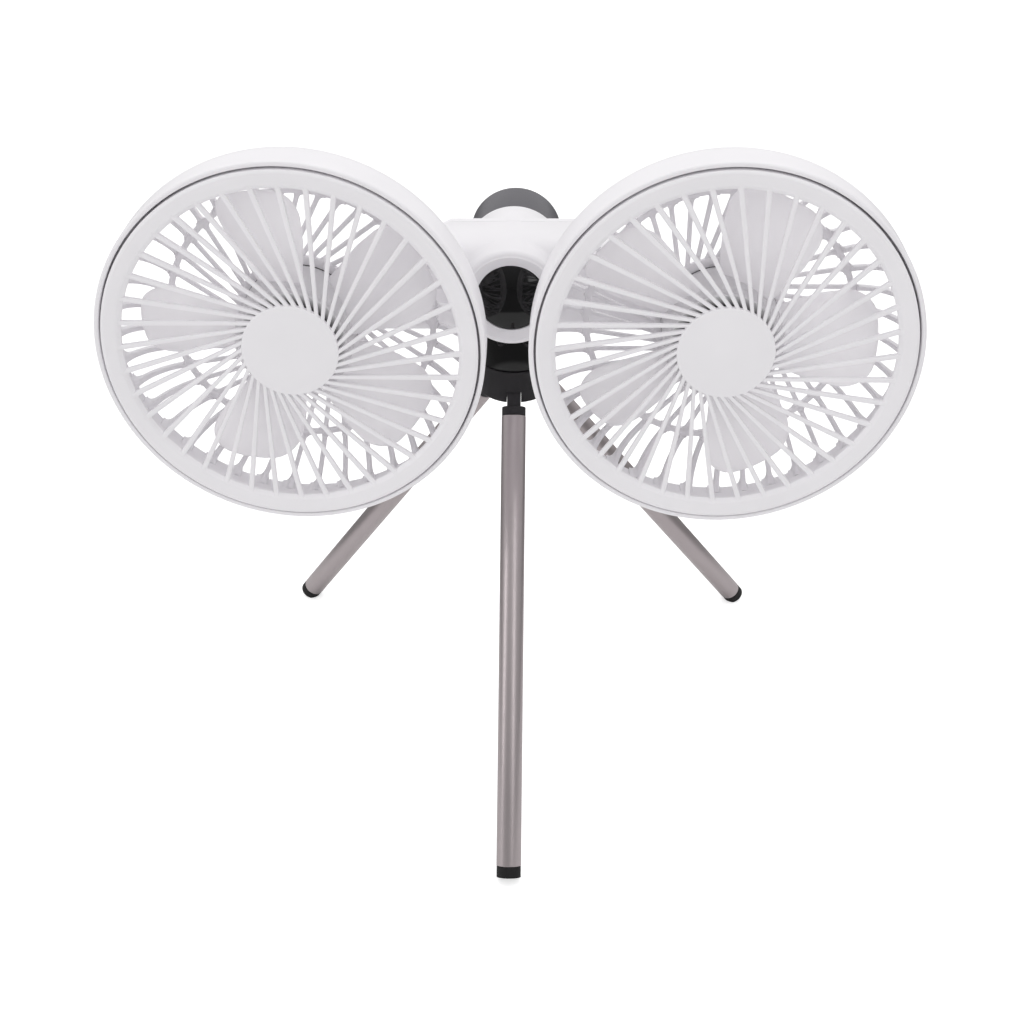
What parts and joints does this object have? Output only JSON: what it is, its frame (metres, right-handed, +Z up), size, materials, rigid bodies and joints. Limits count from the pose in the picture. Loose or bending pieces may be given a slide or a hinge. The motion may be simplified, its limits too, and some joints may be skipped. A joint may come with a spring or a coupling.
{
  "type": "dual-head desk fan",
  "caption": "Cordless fan with a pair of caged round heads on a forked battery beam, standing on a folding tripod; heads tilt, the beam swivels and the blades spin.",
  "frame": {"origin": "middle of the standing box, on the table surface under the fan", "axes": "+Z up, the fan heads face -Y, +X to the right of someone looking at the front of the fan"},
  "size_m": [0.3264, 0.2288, 0.3118],
  "materials": {
    "white_plastic": "satin moulded ABS",
    "frosted_plastic": "frosted translucent moulded plastic",
    "gloss_black": "polished moulded plastic",
    "matte_black": "fine-textured glass-filled nylon",
    "dark_grey_plastic": "smooth semi-gloss moulded plastic",
    "gunmetal_aluminium": "satin anodised drawn tube",
    "black_rubber": "moulded rubber",
    "steel": "zinc-plated steel",
    "nylon_washer": "nylon washer",
    "motor_case": "pressed steel can",
    "circuit_board": "glass-fibre board",
    "cell_can": "shrink-wrapped cell"
  },
  "bodies": {
    "tripod_base": {"tripod_hub": "matte_black", "leg_pivot_pins": "steel", "swivel_bolt": "steel", "swivel_washer": "nylon_washer"},
    "front_leg": {"leg_fitting_front": "matte_black", "leg_tube_front": "gunmetal_aluminium", "foot_cap_front": "black_rubber"},
    "rear_left_leg": {"leg_fitting_rear_left": "matte_black", "leg_tube_rear_left": "gunmetal_aluminium", "foot_cap_rear_left": "black_rubber"},
    "rear_right_leg": {"leg_fitting_rear_right": "matte_black", "leg_tube_rear_right": "gunmetal_aluminium", "foot_cap_rear_right": "black_rubber"},
    "beam": {"neck": "gloss_black", "beam_front_shell": "white_plastic", "beam_rear_shell": "white_plastic", "battery_cap": "dark_grey_plastic", "battery_cells": "cell_can", "control_board": "circuit_board", "usb_c_socket": "steel", "shell_screws": "steel", "neck_screws": "steel", "tilt_bolt_left": "steel", "tilt_bolt_right": "steel", "tilt_washer_left": "nylon_washer", "tilt_washer_right": "nylon_washer"},
    "button": {"control_button": "gloss_black"},
    "left_head": {"head_shell_left": "white_plastic", "front_grille_left": "white_plastic", "motor_left": "motor_case", "motor_screws_left": "steel"},
    "right_head": {"head_shell_right": "white_plastic", "front_grille_right": "white_plastic", "motor_right": "motor_case", "motor_screws_right": "steel"},
    "left_fan": {"fan_rotor_left": "frosted_plastic", "motor_shaft_left": "steel"},
    "right_fan": {"fan_rotor_right": "frosted_plastic", "motor_shaft_right": "steel"}
  },
  "joints": [
    {"name": "front_leg_fold", "type": "hinge", "parent": "tripod_base", "child": "front_leg", "pos_m": [0, 0.02269, 0.17851], "axis": [1, 0, 0], "range_deg": [0, 37]},
    {"name": "rear_left_leg_fold", "type": "hinge", "parent": "tripod_base", "child": "rear_left_leg", "pos_m": [-0.00826, 0.03777, 0.17851], "axis": [-0.5388, -0.8425, 0], "range_deg": [0, 37]},
    {"name": "rear_right_leg_fold", "type": "hinge", "parent": "tripod_base", "child": "rear_right_leg", "pos_m": [0.00826, 0.03777, 0.17851], "axis": [-0.5388, 0.8425, 0], "range_deg": [0, 37]},
    {"name": "beam_swivel", "type": "hinge", "parent": "tripod_base", "child": "beam", "pos_m": [0, 0.03249, 0.18831], "axis": [0, 0, 1], "range_deg": [-180, 180]},
    {"name": "button_press", "type": "slide", "parent": "beam", "child": "button", "axis": [0, 1, 0], "range_m": [0, 0.0008], "stiffness_N_per_m": 800},
    {"name": "left_head_tilt", "type": "hinge", "parent": "beam", "child": "left_head", "pos_m": [-0.0858, -0.00551, 0.23441], "axis": [1, 0, 0], "range_deg": [-35, 35]},
    {"name": "left_fan_spin", "type": "hinge", "parent": "left_head", "child": "left_fan", "pos_m": [-0.0858, -0.03551, 0.23441], "axis": [0, 1, 0], "continuous": true},
    {"name": "right_head_tilt", "type": "hinge", "parent": "beam", "child": "right_head", "pos_m": [0.0858, -0.00551, 0.23441], "axis": [1, 0, 0], "range_deg": [-35, 35]},
    {"name": "right_fan_spin", "type": "hinge", "parent": "right_head", "child": "right_fan", "pos_m": [0.0858, -0.03551, 0.23441], "axis": [0, 1, 0], "continuous": true}
  ]
}
